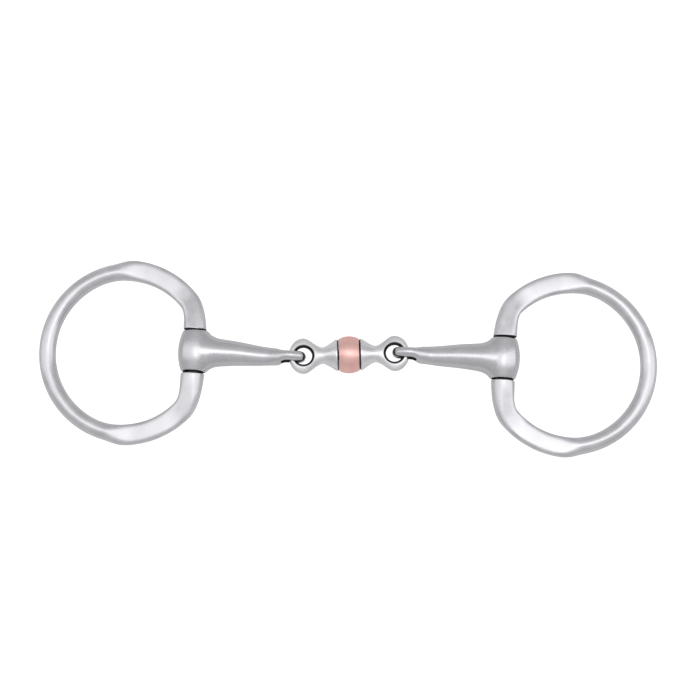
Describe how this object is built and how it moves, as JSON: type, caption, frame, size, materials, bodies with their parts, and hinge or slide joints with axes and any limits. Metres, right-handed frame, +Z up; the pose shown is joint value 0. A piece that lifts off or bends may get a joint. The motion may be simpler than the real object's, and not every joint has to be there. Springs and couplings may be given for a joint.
{
  "type": "snaffle bit",
  "caption": "Eggbutt snaffle bit: tapered mouth arms jointed to a middle link with a loose copper roller, and flat-sided cheek rings hinged at the ends.",
  "frame": {"origin": "on the surface that the bit lies on, under the middle of the roller", "axes": "+X along the mouthpiece from the left cheek ring to the right one, +Y along the cheek hinges, +Z up from the surface"},
  "size_m": [0.2764, 0.0838, 0.0166],
  "materials": {
    "ring_steel": "satin stainless steel, hand polished",
    "mouth_steel": "satin stainless steel, brushed along the mouthpiece",
    "pin_steel": "turned stainless steel",
    "roller_copper": "satin copper, turned"
  },
  "bodies": {
    "link": {"left_link_eye": "mouth_steel", "right_link_eye": "mouth_steel", "link_spindle": "pin_steel"},
    "roller": {"copper_roller": "roller_copper"},
    "left_arm": {"left_mouth_arm": "mouth_steel"},
    "right_arm": {"right_mouth_arm": "mouth_steel"},
    "left_ring": {"left_cheek_ring": "ring_steel", "left_hinge_pin": "pin_steel"},
    "right_ring": {"right_cheek_ring": "ring_steel", "right_hinge_pin": "pin_steel"}
  },
  "joints": [
    {"name": "roller_spin", "type": "hinge", "parent": "link", "child": "roller", "pos_m": [0, 0, 0.0083], "axis": [0.9985, 0.055, 0], "continuous": true},
    {"name": "right_arm_fold", "type": "hinge", "parent": "link", "child": "right_arm", "pos_m": [0.02549, 0.0014, 0.0083], "axis": [0.0324, 0.9995, 0], "range_deg": [-120, 120]},
    {"name": "left_arm_fold", "type": "hinge", "parent": "link", "child": "left_arm", "pos_m": [-0.02549, -0.0014, 0.0083], "axis": [0.0324, 0.9995, 0], "range_deg": [-120, 120]},
    {"name": "right_ring_swing", "type": "hinge", "parent": "right_arm", "child": "right_ring", "pos_m": [0.06873, 0, 0.00755], "axis": [-0.0324, -0.9995, 0], "range_deg": [-155, 155]},
    {"name": "left_ring_swing", "type": "hinge", "parent": "left_arm", "child": "left_ring", "pos_m": [-0.06874, -0.00025, 0.00755], "axis": [-0.0324, -0.9995, 0], "range_deg": [-155, 155]}
  ]
}
